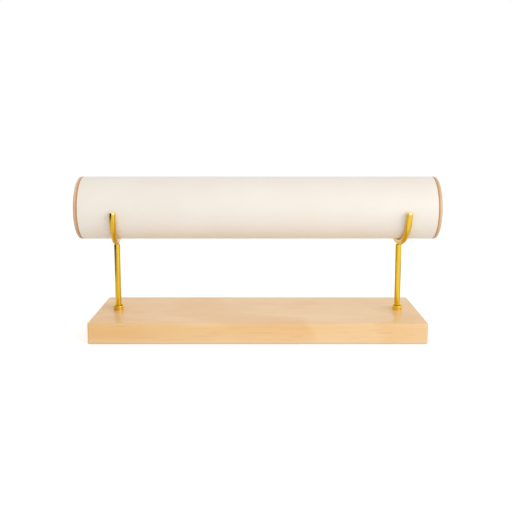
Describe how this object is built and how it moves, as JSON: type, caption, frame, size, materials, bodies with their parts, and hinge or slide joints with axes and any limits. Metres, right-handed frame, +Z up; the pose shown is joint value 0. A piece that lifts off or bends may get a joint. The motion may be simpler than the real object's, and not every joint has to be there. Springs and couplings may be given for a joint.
{
  "type": "bracelet display stand",
  "caption": "Long leatherette-covered roll lying in gold-coloured half-ring forks on a flat beech board, for showing bracelets and watches.",
  "frame": {"origin": "on the surface that the stand rests on, below the middle of the board", "axes": "+X along the roll, -Y to the front, +Z up"},
  "size_m": [0.3, 0.085, 0.132],
  "materials": {
    "board": "pale beech, sanded and clear matt finished",
    "cover": "cream smooth leatherette, matt with a soft sheen",
    "end_caps": "tan turned wood, sanded",
    "tube": "plain wound board",
    "forks": "polished yellow gold colour",
    "fasteners": "bright zinc plated"
  },
  "bodies": {
    "root": {"base_board": "board", "roll_tube": "tube", "roll_cover": "cover", "left_end_cap": "end_caps", "right_end_cap": "end_caps", "left_post": "forks", "left_cradle": "forks", "left_collar": "forks", "left_washer": "fasteners", "left_nut": "fasteners", "right_post": "forks", "right_cradle": "forks", "right_collar": "forks", "right_washer": "fasteners", "right_nut": "fasteners"}
  },
  "joints": []
}
